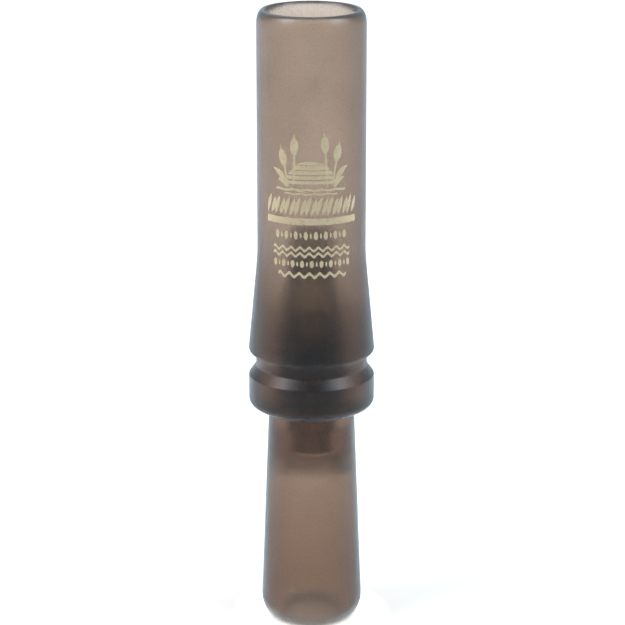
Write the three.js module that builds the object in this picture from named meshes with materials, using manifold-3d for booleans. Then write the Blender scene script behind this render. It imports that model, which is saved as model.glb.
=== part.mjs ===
// A reed-type duck call that stands on its exhaust end. The barrel is blown into at its upper end, and
// an exhaust tube with two seal rings plugs into its lower end. Inside, a tone board plugged into the
// exhaust tube carries a reed on its flat face, held down by a wedge.
// Millimetres, +Z up, origin at the centre of the exhaust rim. The reed side faces -Y.
import * as THREE from "three";
import { mergeVertices } from "three/addons/utils/BufferGeometryUtils.js";
import Module from "manifold-3d";

const wasm = await Module();
wasm.setup();

// ---- driving dimensions -------------------------------------------------------------------------
const LENGTH = 129.8; // exhaust rim to mouth rim
const ROUND_STEPS = 56; // facets round the outer shells
const INNER_STEPS = 40; // facets round the tone board
const FIT_GAP = 0.1; // left between pieces that touch

// Barrel: a straight mouth end, a flare, a lanyard groove with a chamfer under it, and a band.
const BARREL_R = 11.1;
const BAND_R = 13.0;
const BORE_R = 9.0;
const SOCKET_R = 8.1; // the lower bore, which the tenon fits
const BARREL_END_Z = 46.5;
const SOCKET_TOP_Z = 60.5;
const BORE_CONE_TOP_Z = 70;
const FLARE_TOP_Z = 81.5;
const FLARE_BLEND = 4.5; // height over which the flare leaves the straight wall
const FLARE_EDGE_ROUND = 1.0;
const LEDGE_Z = 58.3; // underside of the flare, the groove's upper wall
const GROOVE_R = 11.5;
const CHAMFER_TOP_Z = 55.6;
const CHAMFER_END_Z = 53.55;
const LIP_ROUND = { r: 1.3, z: 2.9 }; // roundings of the mouth, longer down than across
const LIP_INNER_ROUND = { r: 0.65, z: 2.4 };
const BAND_ROUND = { r: 2.55, z: 2.05 };

// Exhaust tube: a tenon with two ring grooves, a shoulder, and a tube that widens to a rounded end.
const TENON_R = 7.95;
const TENON_TOP_Z = 54;
const SHOULDER_R = 8.85;
const EXIT_R = 10.5;
const EXIT_ROUND = { r: 3.25, z: 4.2 };
const EXHAUST_BORE_R = 6.55;
const EXHAUST_BORE_TOP_Z = 32.6;
const THROAT = { r: 4.4, z: 37 }; // the bore narrows to this in a short cone
const PLUG_BORE_R = 5.5; // wider upper bore, which holds the tone board's plug
const PLUG_SEAT_Z = 42.4;
const RINGS = [
  { name: "o_ring_lower", z: 48.9 },
  { name: "o_ring_upper", z: 51.7 },
];
const RING_CORD_R = 0.6;
const RING_OUTER_R = 8.0;
const RING_GROOVE_HALF = 0.75;

// Tone board: nozzle, plug, base with the wedge pocket, and a tapered tongue with a trough in it.
const NOZZLE_R = THROAT.r - FIT_GAP;
const NOZZLE_END_Z = 37.5;
const CHANNEL = { r: 2.0, y: 0.9 }; // the air channel runs behind the reed's tail
const BASE_R = 7.8;
const BASE_TOP_Z = 61;
const REED_FACE_Y = -1.9; // the flat face that the reed lies on
const TAPER_FOOT_Z = 60; // the tongue tapers from the base's radius here
const TAPER_TOP = { r: 4.9, z: 75 };
const TONGUE_NOSE = { r: 4.7, z: 84.3 }; // where the rounded tip begins
const TONGUE_TIP_Z = 86.8;
const RAMP_FOOT = { y: 5.2, z: 72 }; // the tongue's back is cut to a ramp that thins it to its tip
const RAMP_TIP_Y = 0;
const RAMP_POWER = 2.3;
const TROUGH_FOOT = { r: 5.3, z: 64.5 };
const TROUGH_NOSE = { r: 3.3, z: 74 };
const TROUGH_TIP_Z = 76.5;
const TIP_DROP = 1.4; // how far the reed face has curved away at the tip
const DROP_POWER = 1.6;
const POCKET = { halfWidth: 5.8, depth: 2.8, floorZ: 55.2 };

// Reed and wedge.
const REED_THICKNESS = 0.3;
const REED_TAIL_Z = 55.4;
const REED_TIP_Z = 85.8;
const REED_TIP_CORNER = 2.4;
const REED_HALF = { tail: 5.65, tip: 4.3 };
const WEDGE = { halfWidth: 5.6, bottomZ: 55.4, bottomDepth: 1.95, topDepth: 2.15, chamfer: 0.5 };

// ---- helpers ------------------------------------------------------------------------------------
const point = (r, z) => new THREE.Vector2(r, z);

// Points on an ellipse's arc in the profile plane, angles in degrees from +r towards +z.
function arc(centreR, centreZ, radiusR, radiusZ, from, to, steps = 6) {
  return Array.from({ length: steps + 1 }, (_, i) => {
    const angle = THREE.MathUtils.degToRad(from + ((to - from) * i) / steps);
    return point(centreR + radiusR * Math.cos(angle), centreZ + radiusZ * Math.sin(angle));
  });
}

// A body of revolution about Z. The profile runs up the outside and down the inside, or, where it
// starts and ends on the axis, round the outside only.
function turned(profile, steps) {
  const onAxis = profile[0].x === 0;
  const outline = onAxis ? profile : [...profile, profile[0].clone()];
  return new THREE.LatheGeometry(outline, steps).rotateX(Math.PI / 2);
}

// An outline in the XZ plane made into a plate that is thick along Y, from frontY backwards.
function frontPlate(outline, frontY, thickness) {
  const extrusion = { depth: thickness, bevelEnabled: false, curveSegments: 10 };
  const plate = new THREE.ExtrudeGeometry(outline, extrusion);
  return plate.rotateX(Math.PI / 2).translate(0, frontY + thickness, 0);
}

// An outline drawn with Y across and Z up made into a block that is as wide along X, about X = 0.
function sideBlock(outline, width) {
  const block = new THREE.ExtrudeGeometry(outline, { depth: width, bevelEnabled: false });
  const yzToWorld = new THREE.Matrix4().set(0, 0, 1, -width / 2, 1, 0, 0, 0, 0, 1, 0, 0, 0, 0, 0, 1);
  return block.applyMatrix4(yzToWorld);
}

function solidOf(geometry) {
  const bare = geometry.clone().deleteAttribute("normal").deleteAttribute("uv");
  const merged = mergeVertices(bare, 1e-4);
  const vertProperties = merged.attributes.position.array;
  const triVerts = new Uint32Array(merged.index.array);
  return new wasm.Manifold(new wasm.Mesh({ numProp: 3, vertProperties, triVerts }));
}

function geometryOf(solid) {
  const mesh = solid.getMesh();
  const geometry = new THREE.BufferGeometry();
  geometry.setAttribute("position", new THREE.BufferAttribute(mesh.vertProperties, 3));
  geometry.setIndex(new THREE.BufferAttribute(mesh.triVerts, 1));
  return geometry;
}

// ---- materials ----------------------------------------------------------------------------------
const smokePlastic = new THREE.MeshStandardMaterial({ color: 0x8f7f74, roughness: 0.45, metalness: 0 });
const darkPlastic = new THREE.MeshStandardMaterial({ color: 0x5d534b, roughness: 0.35, metalness: 0 });
const reedFilm = new THREE.MeshStandardMaterial({ color: 0xd9dcd6, roughness: 0.3, metalness: 0 });
const blackRubber = new THREE.MeshStandardMaterial({ color: 0x1c1b1a, roughness: 0.8, metalness: 0 });

const call = new THREE.Group();

function addPiece(name, geometry, material) {
  const mesh = new THREE.Mesh(geometry, material);
  mesh.name = name;
  call.add(mesh);
}

// ---- barrel -------------------------------------------------------------------------------------
function barrel() {
  const flareBottomZ = LEDGE_Z + FLARE_EDGE_ROUND;
  const flareMiddleZ = FLARE_TOP_Z - FLARE_BLEND / 2;
  const flareSlope = (BAND_R - BARREL_R) / (flareMiddleZ - flareBottomZ);
  const flareBlend = new THREE.QuadraticBezierCurve(
    point(BARREL_R + (flareSlope * FLARE_BLEND) / 2, FLARE_TOP_Z - FLARE_BLEND),
    point(BARREL_R, flareMiddleZ),
    point(BARREL_R, FLARE_TOP_Z),
  );
  const lipInnerR = BORE_R + LIP_INNER_ROUND.r;
  const lipInnerZ = LENGTH - LIP_INNER_ROUND.z;
  return turned(
    [
      point(SOCKET_R + 0.4, BARREL_END_Z),
      ...arc(BAND_R - BAND_ROUND.r, BARREL_END_Z + BAND_ROUND.z, BAND_ROUND.r, BAND_ROUND.z, -90, 0),
      ...arc(BAND_R - 0.25, CHAMFER_END_Z - 0.15, 0.25, 0.25, 0, 50, 2),
      point(GROOVE_R + 0.15, CHAMFER_TOP_Z - 0.1),
      point(GROOVE_R, CHAMFER_TOP_Z + 0.2),
      point(GROOVE_R, LEDGE_Z - 0.3),
      point(GROOVE_R + 0.3, LEDGE_Z),
      ...arc(BAND_R - FLARE_EDGE_ROUND, flareBottomZ, FLARE_EDGE_ROUND, FLARE_EDGE_ROUND, -90, 0, 4),
      ...flareBlend.getPoints(4),
      ...arc(BARREL_R - LIP_ROUND.r, LENGTH - LIP_ROUND.z, LIP_ROUND.r, LIP_ROUND.z, 0, 90),
      ...arc(lipInnerR, lipInnerZ, LIP_INNER_ROUND.r, LIP_INNER_ROUND.z, 90, 180),
      point(BORE_R, BORE_CONE_TOP_Z),
      point(SOCKET_R, SOCKET_TOP_Z),
      point(SOCKET_R, BARREL_END_Z + 0.4),
    ],
    ROUND_STEPS,
  );
}
addPiece("barrel", barrel(), smokePlastic);

// ---- exhaust tube and its seal rings ------------------------------------------------------------
function exhaustTube() {
  const shoulderZ = BARREL_END_Z - FIT_GAP;
  const grooveFloorR = RING_OUTER_R - 2 * RING_CORD_R - FIT_GAP;
  const ringGroove = ({ z }) => [
    point(TENON_R, z - RING_GROOVE_HALF),
    point(grooveFloorR, z - RING_GROOVE_HALF),
    point(grooveFloorR, z + RING_GROOVE_HALF),
    point(TENON_R, z + RING_GROOVE_HALF),
  ];
  return turned(
    [
      ...arc(EXIT_R - EXIT_ROUND.r, EXIT_ROUND.z, EXIT_ROUND.r, EXIT_ROUND.z, -90, 0, 8),
      point(SHOULDER_R, shoulderZ),
      point(TENON_R, shoulderZ),
      ...RINGS.flatMap(ringGroove),
      point(TENON_R, TENON_TOP_Z - 0.5),
      point(TENON_R - 0.4, TENON_TOP_Z),
      point(PLUG_BORE_R + 0.3, TENON_TOP_Z),
      point(PLUG_BORE_R, TENON_TOP_Z - 0.3),
      point(PLUG_BORE_R, PLUG_SEAT_Z),
      point(THROAT.r, PLUG_SEAT_Z),
      point(THROAT.r, THROAT.z),
      point(EXHAUST_BORE_R, EXHAUST_BORE_TOP_Z),
      point(EXHAUST_BORE_R, 0),
    ],
    ROUND_STEPS,
  );
}
addPiece("exhaust_tube", exhaustTube(), smokePlastic);

for (const { name, z } of RINGS) {
  const cord = arc(RING_OUTER_R - RING_CORD_R, z, RING_CORD_R, RING_CORD_R, -90, 270, 10).slice(0, -1);
  addPiece(name, turned(cord, ROUND_STEPS), blackRubber);
}

// ---- tone board ---------------------------------------------------------------------------------
// How far the reed face has curved back from its plane, so that the reed can close on it.
function faceDrop(z) {
  const along = Math.max(0, (z - BASE_TOP_Z) / (TONGUE_TIP_Z - BASE_TOP_Z));
  return TIP_DROP * along ** DROP_POWER;
}

// A half-ellipsoid nose that ends a round body on its axis.
function nose({ r, z }, tipZ) {
  return [...arc(0, z, r, tipZ - z, 0, 90, 6).slice(0, -1), point(0, tipZ)];
}

// What lies before or behind a curve of (y, z) points, out to farY, as a block to cut with.
function besideCurve(yAt, farY, fromZ, toZ) {
  const outline = new THREE.Shape();
  outline.moveTo(farY, fromZ);
  const steps = Math.round((toZ - fromZ) / 2);
  for (let i = 0; i <= steps; i++) {
    const z = fromZ + ((toZ - fromZ) * i) / steps;
    outline.lineTo(yAt(z), z);
  }
  outline.lineTo(farY, toZ);
  return sideBlock(outline, 4 * BASE_R);
}

function rampY(z) {
  const toTip = Math.max(0, (TONGUE_TIP_Z - z) / (TONGUE_TIP_Z - RAMP_FOOT.z));
  return RAMP_TIP_Y + (RAMP_FOOT.y - RAMP_TIP_Y) * toTip ** RAMP_POWER;
}

function toneBoard() {
  const plugTopZ = TENON_TOP_Z + FIT_GAP;
  const plugR = PLUG_BORE_R - FIT_GAP;
  const plugEndZ = PLUG_SEAT_Z + FIT_GAP;
  const body = turned(
    [
      point(0, NOZZLE_END_Z),
      point(NOZZLE_R - 0.3, NOZZLE_END_Z),
      point(NOZZLE_R, NOZZLE_END_Z + 0.3),
      point(NOZZLE_R, plugEndZ),
      point(plugR - 0.3, plugEndZ),
      point(plugR, plugEndZ + 0.3),
      point(plugR, plugTopZ),
      point(BASE_R, plugTopZ),
      point(BASE_R, TAPER_FOOT_Z),
      point(TAPER_TOP.r, TAPER_TOP.z),
      ...nose(TONGUE_NOSE, TONGUE_TIP_Z),
    ],
    INNER_STEPS,
  );
  const trough = turned(
    [point(0, BASE_TOP_Z), point(TROUGH_FOOT.r, TROUGH_FOOT.z), ...nose(TROUGH_NOSE, TROUGH_TIP_Z)],
    INNER_STEPS,
  );
  const aboveTipZ = TONGUE_TIP_Z + 1;
  const inFront = besideCurve((z) => REED_FACE_Y + faceDrop(z), -2 * BASE_R, BASE_TOP_Z, aboveTipZ);
  const behind = besideCurve(rampY, 2 * BASE_R, RAMP_FOOT.z, aboveTipZ);

  const pocketHeight = BASE_TOP_Z + 1 - POCKET.floorZ;
  const pocket = new THREE.BoxGeometry(2 * POCKET.halfWidth, POCKET.depth, pocketHeight);
  pocket.translate(0, REED_FACE_Y - POCKET.depth / 2, POCKET.floorZ + pocketHeight / 2);

  const channelLength = BASE_TOP_Z + 2 - (NOZZLE_END_Z - 1);
  const channel = new THREE.CylinderGeometry(CHANNEL.r, CHANNEL.r, channelLength, INNER_STEPS);
  channel.rotateX(Math.PI / 2).translate(0, CHANNEL.y, NOZZLE_END_Z - 1 + channelLength / 2);

  const board = solidOf(body)
    .subtract(solidOf(inFront))
    .subtract(solidOf(behind))
    .subtract(solidOf(trough))
    .subtract(solidOf(pocket))
    .subtract(solidOf(channel));
  return geometryOf(board);
}
addPiece("tone_board", toneBoard(), darkPlastic);

// ---- reed and wedge -----------------------------------------------------------------------------
// The reed is one strip of film, drawn as two where it bends, at the pocket's edge.
const reedFrontY = REED_FACE_Y - FIT_GAP - REED_THICKNESS;

function reedHalfWidth(z) {
  return THREE.MathUtils.mapLinear(z, REED_TAIL_Z, REED_TIP_Z, REED_HALF.tail, REED_HALF.tip);
}

function reedTail() {
  const topZ = BASE_TOP_Z - FIT_GAP / 2;
  const outline = new THREE.Shape();
  outline.moveTo(-REED_HALF.tail, REED_TAIL_Z);
  outline.lineTo(REED_HALF.tail, REED_TAIL_Z);
  outline.lineTo(reedHalfWidth(topZ), topZ);
  outline.lineTo(-reedHalfWidth(topZ), topZ);
  return frontPlate(outline, reedFrontY, REED_THICKNESS);
}
addPiece("reed_tail", reedTail(), reedFilm);

function reedBlade() {
  const bottomZ = BASE_TOP_Z + FIT_GAP / 2;
  const cornerZ = REED_TIP_Z - REED_TIP_CORNER;
  const cornerHalf = reedHalfWidth(cornerZ);
  const outline = new THREE.Shape();
  outline.moveTo(-reedHalfWidth(bottomZ), bottomZ);
  outline.lineTo(reedHalfWidth(bottomZ), bottomZ);
  outline.lineTo(cornerHalf, cornerZ);
  outline.quadraticCurveTo(cornerHalf, REED_TIP_Z, 0, REED_TIP_Z);
  outline.quadraticCurveTo(-cornerHalf, REED_TIP_Z, -cornerHalf, cornerZ);
  return frontPlate(outline, reedFrontY, REED_THICKNESS);
}
addPiece("reed_blade", reedBlade(), reedFilm);

function wedge() {
  const backY = reedFrontY - FIT_GAP;
  const outline = new THREE.Shape();
  outline.moveTo(backY, WEDGE.bottomZ);
  outline.lineTo(backY, BASE_TOP_Z);
  outline.lineTo(backY - WEDGE.topDepth + WEDGE.chamfer, BASE_TOP_Z);
  outline.lineTo(backY - WEDGE.topDepth, BASE_TOP_Z - WEDGE.chamfer);
  outline.lineTo(backY - WEDGE.bottomDepth, WEDGE.bottomZ);
  return sideBlock(outline, 2 * WEDGE.halfWidth);
}
addPiece("wedge", wedge(), blackRubber);

export default call;
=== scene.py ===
"""The look of a smoke-coloured plastic duck call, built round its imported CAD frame.

Lengths are in millimetres in the outlines below and in metres in Blender. The call stands on its
exhaust rim at the origin, +Z up, with its reed side and its print facing -Y.
"""
import math

import bmesh
import bpy
from mathutils import Matrix, Vector
from mathutils.geometry import delaunay_2d_cdt


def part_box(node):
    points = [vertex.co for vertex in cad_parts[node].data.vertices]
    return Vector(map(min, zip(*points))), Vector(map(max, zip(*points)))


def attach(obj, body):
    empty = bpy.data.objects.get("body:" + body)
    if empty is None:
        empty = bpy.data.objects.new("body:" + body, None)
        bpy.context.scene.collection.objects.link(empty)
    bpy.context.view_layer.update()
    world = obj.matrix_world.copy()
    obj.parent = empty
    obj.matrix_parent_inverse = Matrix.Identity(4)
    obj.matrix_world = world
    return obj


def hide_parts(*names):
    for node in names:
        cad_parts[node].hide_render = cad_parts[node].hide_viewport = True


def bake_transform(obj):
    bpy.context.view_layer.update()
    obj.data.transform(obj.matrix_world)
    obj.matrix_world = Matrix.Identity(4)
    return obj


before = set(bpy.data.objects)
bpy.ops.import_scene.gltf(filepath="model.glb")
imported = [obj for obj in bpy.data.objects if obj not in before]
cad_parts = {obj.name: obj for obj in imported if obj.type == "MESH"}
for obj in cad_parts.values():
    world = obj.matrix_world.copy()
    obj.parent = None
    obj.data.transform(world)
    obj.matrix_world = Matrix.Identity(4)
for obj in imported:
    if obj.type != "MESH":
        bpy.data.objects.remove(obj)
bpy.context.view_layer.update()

MM = 0.001
ROUND_STEPS = 192

# ---- driving dimensions, mm, as in the CAD model ------------------------------------------------
# A ROUND is an ellipse's radii along r and z. Other pairs are a point's (r, z) unless noted.

# The barrel.
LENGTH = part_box("barrel")[1].z / MM
BAND_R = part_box("barrel")[1].x / MM
BARREL_END_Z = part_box("barrel")[0].z / MM
BARREL_R = 11.1
BORE_R = 9.0
SOCKET_R = 8.1
SOCKET_TOP_Z = 60.5
BORE_CONE_TOP_Z = 70
FLARE_TOP_Z = 81.5
FLARE_BLEND = 4.5
FLARE_EDGE_ROUND = 1.0
LEDGE_Z = 58.3
GROOVE_R = 11.5
CHAMFER_TOP_Z = 55.6
CHAMFER_END_Z = 53.55
LIP_ROUND = (1.3, 2.9)
LIP_INNER_ROUND = (0.65, 2.4)
BAND_ROUND = (2.55, 2.05)

# The exhaust tube and its seal rings.
TENON_R = 7.95
TENON_TOP_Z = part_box("exhaust_tube")[1].z / MM
SHOULDER_R = 8.85
SHOULDER_Z = BARREL_END_Z - 0.1
EXIT_R = 10.5
EXIT_ROUND = (3.25, 4.2)
EXHAUST_BORE_R = 6.55
EXHAUST_BORE_TOP_Z = 32.6
THROAT = (4.4, 37.0)
PLUG_BORE_R = 5.5
PLUG_SEAT_Z = 42.4
RING_Z = (48.9, 51.7)  # the lower and the upper ring's height
RING_CORD_R = 0.6
RING_OUTER_R = 8.0
RING_GROOVE_HALF = 0.75
RING_GROOVE_FLOOR_R = 6.7

# The tone board.
NOZZLE_R = THROAT[0] - 0.1
NOZZLE_END_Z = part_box("tone_board")[0].z / MM
PLUG_R = PLUG_BORE_R - 0.1
PLUG_END_Z = PLUG_SEAT_Z + 0.1
CHANNEL_R = 2.0
CHANNEL_Y = 0.9
BASE_R = 7.8
BASE_BOTTOM_Z = TENON_TOP_Z + 0.1
BASE_TOP_Z = 61
REED_FACE_Y = -1.9
TAPER_FOOT_Z = 60
TAPER_TOP = (4.9, 75)
TONGUE_NOSE = (4.7, 84.3)
TONGUE_TIP_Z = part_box("tone_board")[1].z / MM
RAMP_FOOT = (5.2, 72)  # y and z
RAMP_POWER = 2.3
TROUGH_FOOT = (5.3, 64.5)
TROUGH_NOSE = (3.3, 74)
TROUGH_TIP_Z = 76.5
TIP_DROP = 1.4
DROP_POWER = 1.6
POCKET_HALF = 5.8
POCKET_DEPTH = 2.8
POCKET_FLOOR_Z = 55.2

# The reed.
REED_THICKNESS = 0.3
REED_FRONT_Y = REED_FACE_Y - 0.4
REED_TAIL_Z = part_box("reed_tail")[0].z / MM
REED_TIP_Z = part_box("reed_blade")[1].z / MM
REED_TIP_CORNER = 2.4
REED_TIP_POWER = 2.4  # the tip's round: 2 is an ellipse, and more is squarer
REED_HALF = (5.65, 4.3)  # half its width at the tail and at the tip

CUT_PAST = 1  # how far a cutting block stands past what it cuts


# ---- mesh helpers -------------------------------------------------------------------------------
def held(value):
    """The value, held between 0 and 1."""
    return min(1.0, max(0.0, value))


def arc(centre, radii, start, end, steps=10):
    """Points on an ellipse's arc in the profile plane, angles in degrees from +r towards +z."""
    angles = [math.radians(start + (end - start) * i / steps) for i in range(steps + 1)]
    return [
        (centre[0] + radii[0] * math.cos(a), centre[1] + radii[1] * math.sin(a)) for a in angles]


def bend(controls, steps):
    """Points on the Bezier curve of those control points."""
    degree = len(controls) - 1
    points = []
    for i in range(steps + 1):
        t = i / steps
        weights = [
            math.comb(degree, k) * (1 - t) ** (degree - k) * t ** k for k in range(degree + 1)]
        points.append(tuple(
            sum(w * p[axis] for w, p in zip(weights, controls)) for axis in (0, 1)))
    return points


def fillet(corner, before, after, radius, steps=5):
    """A corner's round: points on a curve that touches the lines to the points on either side."""
    towards = []
    for other in (before, after):
        gap = math.dist(corner, other)
        towards.append(((other[0] - corner[0]) / gap, (other[1] - corner[1]) / gap))
    (ax, az), (bx, bz) = towards
    half = math.acos(max(-1, min(1, ax * bx + az * bz))) / 2
    reach = radius / math.tan(half)
    start = (corner[0] + ax * reach, corner[1] + az * reach)
    end = (corner[0] + bx * reach, corner[1] + bz * reach)
    return bend((start, corner, end), steps)


def rounded(corners):
    """An outline from (r, z) points, kept as they are, and (r, z, radius) corners to round."""
    outline = []
    for i, corner in enumerate(corners):
        if len(corner) == 2:
            outline.append(corner)
        else:
            before = corners[i - 1][:2]
            after = corners[(i + 1) % len(corners)][:2]
            outline += fillet(corner[:2], before, after, corner[2])
    return outline


def with_supports(outline, edge=0.2, longest=3.0):
    """Adds points near the ends of long stretches, so that smooth shading stays flat on them."""
    dense = []
    for a, b in zip(outline, outline[1:] + outline[:1]):
        length = math.dist(a, b)
        stops = [0.0]
        if length > 3 * edge:
            middle = max(1, round((length - 2 * edge) / longest))
            stops += [
                (edge + (length - 2 * edge) * i / middle) / length for i in range(middle + 1)]
        dense += [(a[0] + (b[0] - a[0]) * t, a[1] + (b[1] - a[1]) * t) for t in stops]
    return dense


def new_object(name, bm, smooth=True):
    """A mesh object from a bmesh in millimetres, faces out."""
    bmesh.ops.recalc_face_normals(bm, faces=bm.faces)
    bmesh.ops.scale(bm, vec=(MM, MM, MM), verts=bm.verts)
    mesh = bpy.data.meshes.new(name)
    bm.to_mesh(mesh)
    bm.free()
    mesh.polygons.foreach_set("use_smooth", [smooth] * len(mesh.polygons))
    obj = bpy.data.objects.new(name, mesh)
    bpy.context.scene.collection.objects.link(obj)
    return obj


def turned(name, outline, steps=ROUND_STEPS):
    """A body turned about Z, from a closed outline or one that starts and ends on the axis."""
    on_axis = outline[0][0] == 0
    bm = bmesh.new()
    rings = []
    for r, z in outline:
        if r == 0:
            rings.append([bm.verts.new((0, 0, z))] * steps)
        else:
            turn = [2 * math.pi * i / steps for i in range(steps)]
            rings.append([bm.verts.new((r * math.cos(a), r * math.sin(a), z)) for a in turn])
    pairs = list(zip(rings, rings[1:]))
    if not on_axis:
        pairs.append((rings[-1], rings[0]))
    for low, high in pairs:
        for i in range(steps):
            j = (i + 1) % steps
            corners = list(dict.fromkeys((low[i], low[j], high[j], high[i])))
            bm.faces.new(corners)
    return new_object(name, bm)


def side_block(name, outline, width):
    """An outline of (y, z) points made into a block that is as wide along X, about X = 0."""
    bm = bmesh.new()
    ends = [[bm.verts.new((x, y, z)) for y, z in outline] for x in (-width / 2, width / 2)]
    bm.faces.new(ends[0])
    bm.faces.new(ends[1][::-1])
    for i in range(len(outline)):
        j = (i + 1) % len(outline)
        bm.faces.new((ends[0][i], ends[0][j], ends[1][j], ends[1][i]))
    return new_object(name, bm)


def cut_away(base, cutter):
    """Cuts the cutter's shape out of base, and removes the cutter."""
    modifier = base.modifiers.new("cut", "BOOLEAN")
    modifier.operation = "DIFFERENCE"
    modifier.solver = "EXACT"
    modifier.object = cutter
    apply_modifiers(base)
    bpy.data.objects.remove(cutter)


def apply_modifiers(obj):
    """Makes the modifiers' result the object's own mesh."""
    evaluated = obj.evaluated_get(bpy.context.evaluated_depsgraph_get())
    mesh = bpy.data.meshes.new_from_object(evaluated)
    obj.modifiers.clear()
    obj.data = mesh


def soften_edges(obj, width, segments=2, angle=40):
    """Rounds every edge that turns by more than angle, degrees, over width, mm."""
    modifier = obj.modifiers.new("round", "BEVEL")
    modifier.width = width * MM
    modifier.segments = segments
    modifier.limit_method = "ANGLE"
    modifier.angle_limit = math.radians(angle)
    modifier.use_clamp_overlap = True
    modifier.harden_normals = True
    apply_modifiers(obj)


def mark_frost(obj, frosted):
    """Stores on each vertex how frosted it is: 0 polished, 1 blasted, and more where coarser."""
    attribute = obj.data.attributes.new("frost", "FLOAT", "POINT")
    for vertex, value in zip(obj.data.vertices, attribute.data):
        x, y, z = vertex.co / MM
        value.value = frosted(math.hypot(x, y), z)


def dress(obj, material):
    obj.data.materials.clear()
    obj.data.materials.append(material)


# ---- material helpers ---------------------------------------------------------------------------
# Where most of a noise's values lie, and its middle part.
MOST = (0.3, 0.7)
MIDDLE = (0.35, 0.65)


class Nodes:
    """Short calls for building one material's node tree."""

    def __init__(self, name):
        self.material = bpy.data.materials.new(name)
        self.material.use_nodes = True
        self.tree = self.material.node_tree
        self.shader = self.tree.nodes["Principled BSDF"]
        self.output = self.tree.nodes["Material Output"]
        self.position = self.add("ShaderNodeTexCoord").outputs["Object"]

    def add(self, kind, **settings):
        node = self.tree.nodes.new(kind)
        for key, value in settings.items():
            setattr(node, key, value)
        return node

    def link(self, source, target):
        self.tree.links.new(source, target)

    def set(self, **values):
        """Sets shader sockets by name, with _ for each space."""
        for key, value in values.items():
            self.shader.inputs[key.replace("_", " ")].default_value = value

    def noise(self, size_mm, detail=2.0, roughness=0.5, stretch=(1, 1, 1)):
        """Noise with features of about that size. Stretch makes them longer along an axis."""
        place = self.add("ShaderNodeMapping")
        place.inputs["Scale"].default_value = [1 / s for s in stretch]
        self.link(self.position, place.inputs["Vector"])
        node = self.add("ShaderNodeTexNoise")
        node.inputs["Scale"].default_value = 1 / (size_mm * MM)
        node.inputs["Detail"].default_value = detail
        node.inputs["Roughness"].default_value = roughness
        self.link(place.outputs["Vector"], node.inputs["Vector"])
        return node.outputs["Fac"]

    def ramp(self, source, low, high, from_low=0.0, from_high=1.0):
        """The source's values from from_low to from_high, made low to high and held there."""
        node = self.add("ShaderNodeMapRange", clamp=True)
        node.inputs["From Min"].default_value = from_low
        node.inputs["From Max"].default_value = from_high
        node.inputs["To Min"].default_value = low
        node.inputs["To Max"].default_value = high
        self.link(source, node.inputs["Value"])
        return node.outputs["Result"]

    def distance(self, centre, radii):
        """How far a point is from centre, as a share of radii along each axis."""
        place = self.add("ShaderNodeMapping", vector_type="TEXTURE")
        place.inputs["Location"].default_value = centre
        place.inputs["Scale"].default_value = radii
        self.link(self.position, place.inputs["Vector"])
        node = self.add("ShaderNodeVectorMath", operation="LENGTH")
        self.link(place.outputs["Vector"], node.inputs[0])
        return node.outputs["Value"]

    def math(self, operation, a, b):
        """That operation on two values, each a number or another node's output."""
        node = self.add("ShaderNodeMath", operation=operation)
        for socket, value in zip(node.inputs, (a, b)):
            if isinstance(value, (int, float)):
                socket.default_value = value
            else:
                self.link(value, socket)
        return node.outputs[0]

    def blend(self, factor, first, second):
        """First where the factor is 0 and second where it is 1, each a colour or an output."""
        node = self.add("ShaderNodeMix", data_type="RGBA")
        colour_a, colour_b, colour_result = node.inputs[6], node.inputs[7], node.outputs[2]
        self.link(factor, node.inputs[0])
        for socket, colour in ((colour_a, first), (colour_b, second)):
            if isinstance(colour, tuple):
                socket.default_value = (*colour, 1)
            else:
                self.link(colour, socket)
        return colour_result

    def bump(self, height, depth_mm, below=None):
        """Relief of that depth, on top of another relief if one is given as below."""
        node = self.add("ShaderNodeBump")
        node.inputs["Distance"].default_value = depth_mm * MM
        self.link(height, node.inputs["Height"])
        if below is not None:
            self.link(below, node.inputs["Normal"])
        return node.outputs["Normal"]


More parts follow.
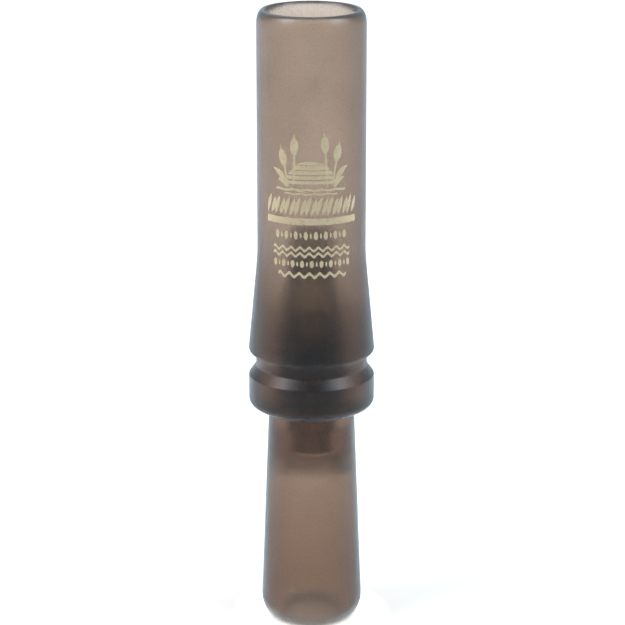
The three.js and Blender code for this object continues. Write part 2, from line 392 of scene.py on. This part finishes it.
def smoke_plastic(name, absorption, clear, smoky, frost_roughness, sheen):
    """Translucent moulded plastic, whose body absorbs light.

    Absorption is per mm in red, green and blue. The surface's tint is clear to smoky. Blasted faces
    are rough, with a fine grain, and their rims look milky through the sheen.
    """
    n = Nodes(name)
    n.set(IOR=1.58, Transmission_Weight=1.0, Specular_IOR_Level=0.36)
    n.set(Sheen_Weight=sheen, Sheen_Roughness=0.36, Sheen_Tint=(0.50, 0.78, 1.0, 1))
    frost = n.add("ShaderNodeAttribute", attribute_name="frost").outputs["Fac"]

    cloud = n.noise(6.0, detail=3)
    speck = n.noise(0.36, detail=2)
    speck_share = 0.65
    mottle = n.math("ADD", n.math("MULTIPLY", cloud, 1 - speck_share),
                    n.math("MULTIPLY", speck, speck_share))
    n.link(n.blend(n.ramp(mottle, 0, 1, *MIDDLE), clear, smoky), n.shader.inputs["Base Color"])

    rubbed = n.noise(9.0, detail=5, roughness=0.65, stretch=(1, 1, 3))
    spread = 0.05
    grained = n.ramp(rubbed, frost_roughness - spread, frost_roughness + spread, *MIDDLE)
    polished = n.ramp(cloud, 0.08, 0.14, *MOST)
    rough = n.math("MULTIPLY", grained, frost)
    smooth = n.math("MULTIPLY", polished, n.math("SUBTRACT", 1.0, frost))
    n.link(n.math("ADD", rough, smooth), n.shader.inputs["Roughness"])

    fine_grain = n.noise(0.22, detail=3, roughness=0.6)
    coarse_grain = n.math("MULTIPLY", n.noise(0.6, detail=2), 0.7)
    polished_share = 0.06
    grain_share = n.math("ADD", n.math("MULTIPLY", frost, 1 - polished_share), polished_share)
    grain = n.math("MULTIPLY", n.math("ADD", fine_grain, coarse_grain), grain_share)
    flow_marks = n.bump(n.noise(3.5, detail=1, stretch=(1, 1, 5)), depth_mm=0.02)
    n.link(n.bump(grain, depth_mm=0.02, below=flow_marks), n.shader.inputs["Normal"])

    body = n.add("ShaderNodeVolumeAbsorption")
    headroom = 1.25
    density = headroom * max(absorption)
    body.inputs["Density"].default_value = density / MM
    body.inputs["Color"].default_value = [1 - a / density for a in absorption] + [1]
    n.link(body.outputs["Volume"], n.output.inputs["Volume"])
    return n.material


def rubber(name):
    """Dull black rubber: fine pores, faint moulding haze and a few pale scuffs."""
    n = Nodes(name)
    n.set(IOR=1.5, Specular_IOR_Level=0.35)
    haze = n.noise(1.6, detail=4)
    scuff = n.ramp(n.noise(2.2, detail=6, roughness=0.7), 0, 1, 0.6, 0.72)
    base = n.blend(haze, (0.010, 0.010, 0.010), (0.024, 0.023, 0.022))
    n.link(n.blend(scuff, base, (0.060, 0.058, 0.055)), n.shader.inputs["Base Color"])
    n.link(n.ramp(haze, 0.55, 0.8, *MOST), n.shader.inputs["Roughness"])
    n.link(n.bump(n.noise(0.12, detail=3), depth_mm=0.015), n.shader.inputs["Normal"])
    return n.material


def reed_film(name):
    """Thin milky film, with a faint drawn grain along its length."""
    n = Nodes(name)
    n.set(IOR=1.5, Transmission_Weight=0.75)
    drawn = n.noise(0.3, detail=3, stretch=(1, 1, 25))
    cloudy = n.noise(4.0, detail=4)
    n.link(n.blend(cloudy, (0.78, 0.80, 0.76), (0.84, 0.85, 0.81)), n.shader.inputs["Base Color"])
    n.link(n.ramp(cloudy, 0.22, 0.34, *MOST), n.shader.inputs["Roughness"])
    n.link(n.bump(drawn, depth_mm=0.0008), n.shader.inputs["Normal"])
    return n.material


def gold_ink(name):
    """Pad-printed tan ink on a blasted surface: slightly gritty, thin in places."""
    n = Nodes(name)
    n.set(IOR=1.5, Metallic=0.15)
    thin = n.ramp(n.noise(0.3, detail=4, roughness=0.7), 0, 1, 0.52, 0.68)
    tone = n.blend(n.noise(3.0, detail=2), (0.74, 0.58, 0.35), (0.92, 0.75, 0.48))
    n.link(n.blend(thin, tone, (0.52, 0.41, 0.26)), n.shader.inputs["Base Color"])
    n.link(n.ramp(thin, 0.45, 0.65), n.shader.inputs["Roughness"])
    n.link(n.bump(n.noise(0.16, detail=2), depth_mm=0.01), n.shader.inputs["Normal"])
    return n.material


def studio_floor(name):
    """A white sweep that glows softly behind the call and in a ring round its foot.

    Its glow and grey zones are painted light and shade: the ring is painted light round the foot,
    an oval just behind the foot is a painted shadow, and it is greyer, as painted shade, in front
    of the call, near it and to the right. Places and radii are in metres.
    """
    n = Nodes(name)
    n.set(Roughness=0.9, Emission_Color=(1, 0.93, 0.84, 1))
    place = n.add("ShaderNodeSeparateXYZ")
    n.link(n.position, place.inputs[0])
    x, y = place.outputs["X"], place.outputs["Y"]
    # Painted shade: greyer and without glow in front of the call, and greyer near it and to the
    # right.
    behind = n.ramp(y, 0, 1, -0.05, -0.01)
    far = n.ramp(y, 0, 1, 0.02, 0.14)
    near = n.ramp(y, 1, 0, 0.4, 0.7)
    right = n.math("MULTIPLY", n.ramp(x, 0, 1, 0.09, 0.2), near)
    sweep = n.blend(far, (0.81, 0.795, 0.78), (0.95, 0.93, 0.90))
    sweep = n.blend(right, sweep, (0.66, 0.66, 0.66))
    n.link(n.blend(behind, (0.60, 0.60, 0.60), sweep), n.shader.inputs["Base Color"])

    # Painted shadow: the glow is dimmed in an oval just behind the foot.
    shade = n.distance(centre=(0, 0.016, 0), radii=(0.0098, 0.024, 1))
    unshaded = n.ramp(shade, 0.8, 1, 0.5, 1.06)
    # Painted light: a ring of glow just outside the foot fills in its contact shadow.
    from_axis = n.distance(centre=(0, 0, 0), radii=(1, 1, 1))
    ring_r = 0.0105
    inside = n.ramp(from_axis, 0, 0.9, 0.0085, ring_r)
    outside = n.ramp(from_axis, 1, 0, ring_r, 0.017)
    glow_all_over = 0.36
    glow = n.math("ADD", n.math("MULTIPLY", inside, outside), glow_all_over)
    glow = n.math("MULTIPLY", n.math("MULTIPLY", behind, unshaded), glow)
    n.link(glow, n.shader.inputs["Emission Strength"])
    return n.material


def studio_air():
    """Cool light all round that is dimmer from the front."""
    front_y, back_y = -0.95, 0.1
    dim, bright = 0.06, 0.72
    world = bpy.data.worlds.new("studio")
    world.use_nodes = True
    tree = world.node_tree
    air = tree.nodes["Background"]
    air.inputs["Color"].default_value = (0.86, 0.94, 1, 1)
    direction = tree.nodes.new("ShaderNodeTexCoord")
    parts = tree.nodes.new("ShaderNodeSeparateXYZ")
    ramp = tree.nodes.new("ShaderNodeMapRange")
    ramp.interpolation_type = "SMOOTHSTEP"
    ramp.inputs["From Min"].default_value = front_y
    ramp.inputs["From Max"].default_value = back_y
    ramp.inputs["To Min"].default_value = dim
    ramp.inputs["To Max"].default_value = bright
    tree.links.new(direction.outputs["Generated"], parts.inputs[0])
    tree.links.new(parts.outputs["Y"], ramp.inputs["Value"])
    tree.links.new(ramp.outputs["Result"], air.inputs["Strength"])
    bpy.context.scene.world = world


# ---- the shells ---------------------------------------------------------------------------------
UNDERSIDE_FROST = 0.2
BAND_FROST = 1.5
GROOVE_FROST = 1.15
FLARE_FROST = 1.5
FLARE_FROST_Z = (73, 95)  # the flare's coarser blasting fades out upwards between these heights
BOARD_FROST = 0.6
POLISHED_R = BARREL_R - 1.5  # the barrel is polished inside this radius
UNDERSIDE_TOP_Z = BARREL_END_Z + 0.7
ZONE_MARGIN = 0.3  # how far past a face's edge its frost ends


def barrel_outer_radius(z):
    """The straight mouth end's radius, or the flare's below it."""
    bottom = LEDGE_Z + FLARE_EDGE_ROUND
    middle = FLARE_TOP_Z - FLARE_BLEND / 2
    slope = (BAND_R - BARREL_R) / (middle - bottom)
    if z >= FLARE_TOP_Z:
        return BARREL_R
    if z >= FLARE_TOP_Z - FLARE_BLEND:
        return BARREL_R + slope * (FLARE_TOP_Z - z) ** 2 / (2 * FLARE_BLEND)
    return BARREL_R + slope * (middle - z)


def barrel_outline():
    """The barrel's profile: up its outside from the band, over the lip, and down the bore."""
    bottom = LEDGE_Z + FLARE_EDGE_ROUND
    lip_r = BARREL_R - LIP_ROUND[0]
    steps = 8
    heights = [FLARE_TOP_Z - FLARE_BLEND * (1 - i / steps) for i in range(steps + 1)]
    flare = [(barrel_outer_radius(z), z) for z in heights]
    return with_supports(rounded([
        (SOCKET_R + 0.4, BARREL_END_Z, 0.1),
        *arc((BAND_R - BAND_ROUND[0], BARREL_END_Z + BAND_ROUND[1]), BAND_ROUND, -90, 0, 14),
        (BAND_R, CHAMFER_END_Z, 0.25),
        (GROOVE_R, CHAMFER_TOP_Z, 0.8),
        (GROOVE_R, LEDGE_Z, 0.45),
        *arc((BAND_R - FLARE_EDGE_ROUND, bottom), (FLARE_EDGE_ROUND,) * 2, -90, 0, 8),
        *flare,
        *arc((lip_r, LENGTH - LIP_ROUND[1]), LIP_ROUND, 0, 90, 14),
        *arc((BORE_R + LIP_INNER_ROUND[0], LENGTH - LIP_INNER_ROUND[1]), LIP_INNER_ROUND, 90, 180),
        (BORE_R, BORE_CONE_TOP_Z, 1.0),
        (SOCKET_R, SOCKET_TOP_Z, 1.0),
        (SOCKET_R, BARREL_END_Z + 0.4, 0.1),
    ]))


def exhaust_outline():
    """The exhaust tube's profile: up its outside and the tenon, and down the bores."""
    grooves = []
    for z in RING_Z:
        low = z - RING_GROOVE_HALF
        high = z + RING_GROOVE_HALF
        grooves += [(TENON_R, low, 0.08), (RING_GROOVE_FLOOR_R, low, 0.12)]
        grooves += [(RING_GROOVE_FLOOR_R, high, 0.12), (TENON_R, high, 0.08)]
    return with_supports(rounded([
        *arc((EXIT_R - EXIT_ROUND[0], EXIT_ROUND[1]), EXIT_ROUND, -90, 0, 18),
        (SHOULDER_R, SHOULDER_Z, 0.15),
        (TENON_R, SHOULDER_Z, 0.15),
        *grooves,
        (TENON_R, TENON_TOP_Z, 0.4),
        (PLUG_BORE_R, TENON_TOP_Z, 0.3),
        (PLUG_BORE_R, PLUG_SEAT_Z, 0.2),
        (THROAT[0], PLUG_SEAT_Z, 0.2),
        (*THROAT, 0.6),
        (EXHAUST_BORE_R, EXHAUST_BORE_TOP_Z, 0.8),
        (EXHAUST_BORE_R, 0, 0.2),
    ]))


def barrel_frost(r, z):
    """Blasted outside, coarser on the band and the flare, and polished in the bore."""
    if z > LENGTH - LIP_INNER_ROUND[1]:
        lip_edge = 0.2
        return held((r - BORE_R) / lip_edge)
    if r < POLISHED_R:
        return 0.0
    if z < UNDERSIDE_TOP_Z:
        return UNDERSIDE_FROST
    if z < CHAMFER_END_Z - ZONE_MARGIN:
        return BAND_FROST
    if z < LEDGE_Z + ZONE_MARGIN:
        return GROOVE_FROST
    fade_from, fade_to = FLARE_FROST_Z
    return 1 + (FLARE_FROST - 1) * held((fade_to - z) / (fade_to - fade_from))


def exhaust_frost(r, z):
    """Blasted on the part that shows, polished on the tenon and in the bore."""
    outside = r > SHOULDER_R - 0.4
    exit_rim = z < 1 and r > EXHAUST_BORE_R + 0.2
    return 1.0 if outside or exit_rim else 0.0


SMOKE = smoke_plastic(
    "smoke plastic", absorption=(0.166, 0.236, 0.295), clear=(1.0, 0.995, 0.99),
    smoky=(0.75, 0.735, 0.72), frost_roughness=0.34, sheen=0.62)
DARK_SMOKE = smoke_plastic(
    "dark smoke plastic", absorption=(0.155, 0.217, 0.275), clear=(0.96, 0.95, 0.94),
    smoky=(0.9, 0.88, 0.86), frost_roughness=0.25, sheen=0)

barrel = turned("barrel_shell", barrel_outline())
mark_frost(barrel, barrel_frost)
dress(barrel, SMOKE)
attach(barrel, "barrel")
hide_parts("barrel")

exhaust = turned("exhaust_shell", exhaust_outline())
mark_frost(exhaust, exhaust_frost)
dress(exhaust, SMOKE)
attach(exhaust, "insert")
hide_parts("exhaust_tube")

# ---- seal rings ---------------------------------------------------------------------------------
RUBBER = rubber("black rubber")
for node, ring_z in zip(("o_ring_lower", "o_ring_upper"), RING_Z):
    cord = arc((RING_OUTER_R - RING_CORD_R, ring_z), (RING_CORD_R, RING_CORD_R), 0, 360, 24)[:-1]
    ring = turned(node + "_rubber", cord)
    dress(ring, RUBBER)
    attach(ring, "seal_rings")
    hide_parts(node)


# ---- tone board ---------------------------------------------------------------------------------
def face_drop(z):
    """How far the reed face has curved back from its plane at that height."""
    along = max(0, (z - BASE_TOP_Z) / (TONGUE_TIP_Z - BASE_TOP_Z))
    return TIP_DROP * along ** DROP_POWER


def ramp_y(z):
    """The tongue's back, cut to a ramp that thins the tongue to its tip."""
    to_tip = max(0, (TONGUE_TIP_Z - z) / (TONGUE_TIP_Z - RAMP_FOOT[1]))
    return RAMP_FOOT[0] * to_tip ** RAMP_POWER


def nose(start, tip_z):
    """A half-ellipsoid nose that ends a round body on its axis."""
    radius, z = start
    return [*arc((0, z), (radius, tip_z - z), 0, 90, 12)[:-1], (0, tip_z)]


def beside_curve(name, y_at, far_y, from_z, to_z, steps=24):
    """What lies before or behind a curve of (y, z) points, out to far_y, as a block to cut with."""
    heights = [from_z + (to_z - from_z) * i / steps for i in range(steps + 1)]
    curve = [(y_at(z), z) for z in heights]
    return side_block(name, [(far_y, from_z), *curve, (far_y, to_z)], 4 * BASE_R)


def tone_board():
    """A turned plug, base and tongue, cut to the reed's face, ramp, trough, pocket and channel."""
    board = turned("tone_board_body", rounded([
        (0, NOZZLE_END_Z),
        (NOZZLE_R, NOZZLE_END_Z, 0.3),
        (NOZZLE_R, PLUG_END_Z, 0.2),
        (PLUG_R, PLUG_END_Z, 0.3),
        (PLUG_R, BASE_BOTTOM_Z, 0.1),
        (BASE_R, BASE_BOTTOM_Z, 0.3),
        (BASE_R, TAPER_FOOT_Z, 2.0),
        TAPER_TOP,
        *nose(TONGUE_NOSE, TONGUE_TIP_Z),
    ]), steps=96)
    above = TONGUE_TIP_Z + CUT_PAST
    in_front = beside_curve(
        "in_front", lambda z: REED_FACE_Y + face_drop(z), -2 * BASE_R, BASE_TOP_Z, above)
    cut_away(board, in_front)
    behind = beside_curve("behind", ramp_y, 2 * BASE_R, RAMP_FOOT[1], above)
    cut_away(board, behind)
    trough = turned(
        "trough", [(0, BASE_TOP_Z), TROUGH_FOOT, *nose(TROUGH_NOSE, TROUGH_TIP_Z)], steps=96)
    cut_away(board, trough)
    front_y = REED_FACE_Y - POCKET_DEPTH
    pocket = side_block("pocket", [
        (REED_FACE_Y, POCKET_FLOOR_Z), (REED_FACE_Y, BASE_TOP_Z + CUT_PAST),
        (front_y, BASE_TOP_Z + CUT_PAST), (front_y, POCKET_FLOOR_Z)], 2 * POCKET_HALF)
    cut_away(board, pocket)
    channel = turned("channel", [
        (0, NOZZLE_END_Z - CUT_PAST), (CHANNEL_R, NOZZLE_END_Z - CUT_PAST),
        (CHANNEL_R, BASE_TOP_Z + 2 * CUT_PAST), (0, BASE_TOP_Z + 2 * CUT_PAST)], steps=48)
    channel.data.transform(Matrix.Translation((0, CHANNEL_Y * MM, 0)))
    cut_away(board, channel)
    soften_edges(board, 0.12)
    return board


board = tone_board()
mark_frost(board, lambda r, z: BOARD_FROST)
dress(board, DARK_SMOKE)
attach(board, "insert")
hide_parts("tone_board")


# ---- reed and wedge -----------------------------------------------------------------------------
def reed_strip():
    """One strip of film from the wedge's foot to the rounded tip, with rows to bend at."""
    corner_z = REED_TIP_Z - REED_TIP_CORNER

    def half_width(z):
        share = (z - REED_TAIL_Z) / (REED_TIP_Z - REED_TAIL_Z)
        straight = REED_HALF[0] + (REED_HALF[1] - REED_HALF[0]) * share
        into_tip = (z - corner_z) / REED_TIP_CORNER
        return straight * math.sqrt(max(0.0, 1 - max(0.0, into_tip) ** REED_TIP_POWER))

    straight_rows = 48
    corner_rows = 16
    columns = 12
    heights = [
        REED_TAIL_Z + (corner_z - REED_TAIL_Z) * i / straight_rows for i in range(straight_rows)]
    heights += [
        corner_z + REED_TIP_CORNER * math.sin(math.pi / 2 * i / corner_rows)
        for i in range(corner_rows)]
    bm = bmesh.new()
    sheets = []
    for y in (REED_FRONT_Y, REED_FRONT_Y + REED_THICKNESS):
        rows = []
        for z in heights:
            across = [half_width(z) * (2 * c / columns - 1) for c in range(columns + 1)]
            rows.append([bm.verts.new((x, y, z)) for x in across])
        sheets.append(rows)
    for rows in sheets:
        for low, high in zip(rows, rows[1:]):
            for c in range(columns):
                bm.faces.new((low[c], low[c + 1], high[c + 1], high[c]))
    front, back = sheets
    for c in range(columns):
        bm.faces.new((front[0][c], front[0][c + 1], back[0][c + 1], back[0][c]))
        bm.faces.new((front[-1][c], front[-1][c + 1], back[-1][c + 1], back[-1][c]))
    for i in range(len(heights) - 1):
        for c in (0, columns):
            bm.faces.new((front[i][c], front[i + 1][c], back[i + 1][c], back[i][c]))
    reed = new_object("reed_strip", bm)
    soften_edges(reed, 0.06)
    return reed


reed = reed_strip()
dress(reed, reed_film("reed film"))
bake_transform(reed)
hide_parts("reed_tail", "reed_blade")


def wedge_block():
    """The CAD wedge's outline, with its edges rounded as moulded rubber."""
    low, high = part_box("wedge")
    back = high.y / MM
    front = low.y / MM
    bottom = low.z / MM
    top = high.z / MM
    width = 2 * high.x / MM
    chamfer = 0.5
    taper = 0.2
    block = side_block("wedge_rubber", [
        (back, bottom), (back, top),
        (front + chamfer, top), (front, top - chamfer), (front + taper, bottom)], width)
    soften_edges(block, 0.22, segments=4, angle=30)
    return block


wedge = wedge_block()
dress(wedge, RUBBER)
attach(wedge, "wedge")
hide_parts("wedge")

# ---- print --------------------------------------------------------------------------------------
# Shapes are drawn flat, in mm: round the barrel from the middle of its front, and upwards.
INK_LOW = 0.006  # how far the ink's underside and its top stand off the barrel
INK_HIGH = 0.034
WATER_Z = 95.5


def leaf(foot, tip, width, bow=0.0, steps=10):
    """A pointed leaf from foot to tip, bowed sideways by that much."""
    (x0, z0), (x1, z1) = foot, tip
    length = math.dist(foot, tip)
    along = ((x1 - x0) / length, (z1 - z0) / length)
    across = (-along[1], along[0])
    sides = []
    for side in (1, -1):
        for i in range(steps + 1):
            t = i / steps if side == 1 else 1 - i / steps
            if side == -1 and i in (0, steps):
                continue
            offset = bow * 4 * t * (1 - t) + side * width / 2 * math.sin(math.pi * t) ** 0.8
            sides.append((x0 + along[0] * length * t + across[0] * offset,
                          z0 + along[1] * length * t + across[1] * offset))
    return sides


def oval(centre, half_x, half_z, lean=0.0, steps=20):
    """An ellipse, leaning to the right by that angle, radians."""
    points = []
    for i in range(steps):
        a = 2 * math.pi * i / steps
        x = half_x * math.cos(a)
        z = half_z * math.sin(a)
        points.append((centre[0] + x * math.cos(lean) + z * math.sin(lean),
                       centre[1] - x * math.sin(lean) + z * math.cos(lean)))
    return points


def bar(x0, x1, z0, z1):
    return [(x0, z0), (x1, z0), (x1, z1), (x0, z1)]


def ripple(x0, x1, z, height, thickness, waves):
    """A wavy line of that thickness."""
    steps = waves * 10
    line = []
    for i in range(steps + 1):
        t = i / steps
        line.append((x0 + (x1 - x0) * t, z + height * math.sin(2 * math.pi * waves * t)))
    upper = [(x, middle + thickness / 2) for x, middle in line]
    lower = [(x, middle - thickness / 2) for x, middle in reversed(line)]
    return lower + upper


def cattails():
    """Seed heads with spikes, on stems among leaves, on both sides of the sun."""
    foot_z = WATER_Z + 0.1
    shapes = []
    for foot_x, top_x, head_z in (
        (-4.6, -6.0, 101.6), (-3.6, -3.5, 104.0), (4.2, 5.4, 102.6), (3.3, 2.7, 104.4),
    ):
        lean = math.atan2(top_x - foot_x, head_z - WATER_Z)
        spike_x = top_x + 1.6 * math.sin(lean)
        spike_z = head_z + 1.6
        spike_tip = (spike_x + math.sin(lean), spike_z + 0.9)
        shapes.append(leaf((foot_x, foot_z), (top_x, head_z), width=0.5))
        shapes.append(oval((top_x, head_z), half_x=0.85, half_z=1.75, lean=lean))
        shapes.append(leaf((spike_x, spike_z - 0.4), spike_tip, width=0.3))
    for foot_x, tip, bow in (
        (-5.4, (-8.4, 99.4), -0.8), (-4.9, (-7.2, 97.2), -0.6),
        (5.0, (7.9, 100.0), 0.8), (4.6, (7.0, 97.6), 0.6),
    ):
        shapes.append(leaf((foot_x, foot_z), tip, width=1.25, bow=bow))
    return shapes


def striped_sun(centre, radius, stripes):
    """The upper part of a disc, cut by gaps that widen downwards."""
    shapes = []
    x, z = centre
    for i in range(stripes):
        share = i / stripes
        filled = 0.86 - 0.3 * share
        top = z + radius * (1 - share)
        bottom = z + radius * (1 - (i + filled) / stripes)
        side = [bottom + (top - bottom) * k / 6 for k in range(7)]
        half = [math.sqrt(max(0.0, radius ** 2 - (level - z) ** 2)) for level in side]
        if i == 0:
            # The disc's top is one point, which the two sides would give twice.
            side, half = side[:-1], half[:-1]
        right = [(x + w, level) for w, level in zip(half, side)]
        left = [(x - w, level) for w, level in zip(reversed(half), reversed(side))]
        shapes.append(right + left)
    return shapes


def border_row(x0, x1, z0, z1, count):
    """A wide row of leaning feathers, each split by its quill."""
    shapes = []
    pitch = (x1 - x0) / count
    lean = 0.55
    for i in range(count):
        x = x0 + pitch * (i + 0.5)
        for side, top in ((-1, z1), (1, z1 - 0.35)):
            middle = x + side * 0.24 * pitch
            foot, tip = (middle - lean, z0), (middle + lean, top)
            shapes.append(leaf(foot, tip, width=pitch * 0.42, bow=side * -0.12))
    return shapes


def beads(x0, x1, z, height, count, long_every):
    """A row of dots, some of them long."""
    shapes = []
    pitch = (x1 - x0) / count
    for i in range(count):
        long = i % long_every == 0
        half = pitch * (0.42 if long else 0.2)
        shapes.append(oval((x0 + pitch * (i + 0.5), z), half, height / 2 if long else height / 3))
    return shapes


def print_shapes():
    """A marsh at sunset over a feather border, a bar, and rows of beads and ripples."""
    shapes = cattails()
    shapes += striped_sun((-0.2, 96.0), radius=5.2, stripes=5)
    shapes.append(ripple(-7.6, 7.2, z=95.2, height=0.12, thickness=0.5, waves=5))
    shapes.append(ripple(-5.6, 5.4, z=94.35, height=0.1, thickness=0.36, waves=4))
    shapes += border_row(-10.0, 9.9, 89.9, 93.8, count=9)
    shapes.append(bar(-10.1, 10.0, 88.0, 89.4))
    shapes += beads(-7.8, 7.5, z=85.8, height=1.7, count=15, long_every=2)
    for z in (83.0, 81.8):
        shapes.append(ripple(-8.4, 8.4, z=z, height=0.35, thickness=0.58, waves=9))
    shapes += beads(-8.3, 8.4, z=79.9, height=1.5, count=17, long_every=2)
    shapes.append(ripple(-7.1, 7.3, z=77.6, height=0.38, thickness=0.66, waves=7))
    return shapes


def wrapped_ink(name, shapes):
    """Flat shapes wrapped round the barrel's front as a thin raised layer of ink."""
    points = []
    outlines = []
    for outline in shapes:
        area = sum(a[0] * b[1] - b[0] * a[1] for a, b in zip(outline, outline[1:] + outline[:1]))
        outlines.append(list(range(len(points), len(points) + len(outline))))
        points += [Vector(point) for point in (outline if area > 0 else outline[::-1])]
    # The outlines' union. Results 0, 2 and 5 are its points, its triangles, and the outlines that
    # each triangle lies in, which are none where it is a gap that shapes close in.
    inside_only = 1
    flat = delaunay_2d_cdt(points, [], outlines, inside_only, 1e-5)
    flat_points, flat_faces, sources = flat[0], flat[2], flat[5]
    bm = bmesh.new()
    corners = [bm.verts.new((x, z, 0)) for x, z in flat_points]
    for face, source in zip(flat_faces, sources):
        if source:
            bm.faces.new([corners[i] for i in face])
    loose = [vertex for vertex in corners if not vertex.link_faces]
    bmesh.ops.delete(bm, geom=loose, context="VERTS")
    # Cuts for the print to bend at: strips round the barrel, and rows where the flare starts.
    strip = 0.6
    strips = 18
    rows = range(int(FLARE_TOP_Z - FLARE_BLEND), int(FLARE_TOP_Z) + 1)
    cuts = [((i * strip, 0, 0), (1, 0, 0)) for i in range(-strips, strips + 1)]
    cuts += [((0, z, 0), (0, 1, 0)) for z in rows]
    for point, normal in cuts:
        everything = bm.verts[:] + bm.edges[:] + bm.faces[:]
        bmesh.ops.bisect_plane(bm, geom=everything, plane_co=point, plane_no=normal)
    bmesh.ops.remove_doubles(bm, verts=bm.verts, dist=1e-4)
    raised = bmesh.ops.extrude_face_region(bm, geom=bm.faces[:])
    top = {v for v in raised["geom"] if isinstance(v, bmesh.types.BMVert)}
    for vertex in bm.verts:
        x, z, _ = vertex.co
        angle = x / BARREL_R
        r = barrel_outer_radius(z) + (INK_HIGH if vertex in top else INK_LOW)
        vertex.co = (r * math.sin(angle), -r * math.cos(angle), z)
    return new_object(name, bm, smooth=False)


ink = wrapped_ink("marsh_print", print_shapes())
dress(ink, gold_ink("gold ink"))
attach(ink, "barrel")


# ---- studio -------------------------------------------------------------------------------------
FLOOR_R = 4000  # mm
CAMERA_AT = (0.0002, -0.5062, 0.2162)  # metres
CAMERA_DOWN = 16.47  # degrees below level
SENSOR_WIDTH = 36
FOCAL_LENGTH = 147.05
LIGHT_BOUNCES = 24  # light crosses several nested walls


def floor():
    bm = bmesh.new()
    bmesh.ops.create_circle(bm, cap_ends=True, segments=96, radius=FLOOR_R)
    obj = new_object("floor", bm)
    dress(obj, studio_floor("white floor"))


def softbox(name, position, size, power, colour):
    """A square light that faces the middle of the call: metres, and watts."""
    light = bpy.data.lights.new(name, "AREA")
    light.size = size
    light.energy = power
    light.color = colour
    obj = bpy.data.objects.new(name, light)
    obj.location = position
    middle = Vector((0, 0, LENGTH / 2 * MM))
    obj.rotation_euler = (middle - obj.location).to_track_quat("-Z", "Y").to_euler()
    bpy.context.scene.collection.objects.link(obj)


def studio():
    floor()
    softbox("left_box", (-0.75, -0.35, 0.75), size=0.5, power=5.2, colour=(0.86, 0.93, 1))
    softbox("right_box", (0.75, -0.35, 0.75), size=0.5, power=5.0, colour=(0.72, 0.87, 1))
    softbox("back_box", (-0.45, 0.8, 1.1), size=1.0, power=3.4, colour=(1, 1, 1))
    studio_air()


def camera():
    data = bpy.data.cameras.new("camera")
    data.sensor_width = SENSOR_WIDTH
    data.lens = FOCAL_LENGTH
    data.clip_end = 20
    obj = bpy.data.objects.new("camera", data)
    obj.location = CAMERA_AT
    obj.rotation_euler = (math.radians(90 - CAMERA_DOWN), 0, 0)
    bpy.context.scene.collection.objects.link(obj)
    bpy.context.scene.camera = obj


camera()
studio()
scene = bpy.context.scene
scene.view_settings.view_transform = "Standard"
scene.cycles.max_bounces = LIGHT_BOUNCES
scene.cycles.transmission_bounces = LIGHT_BOUNCES
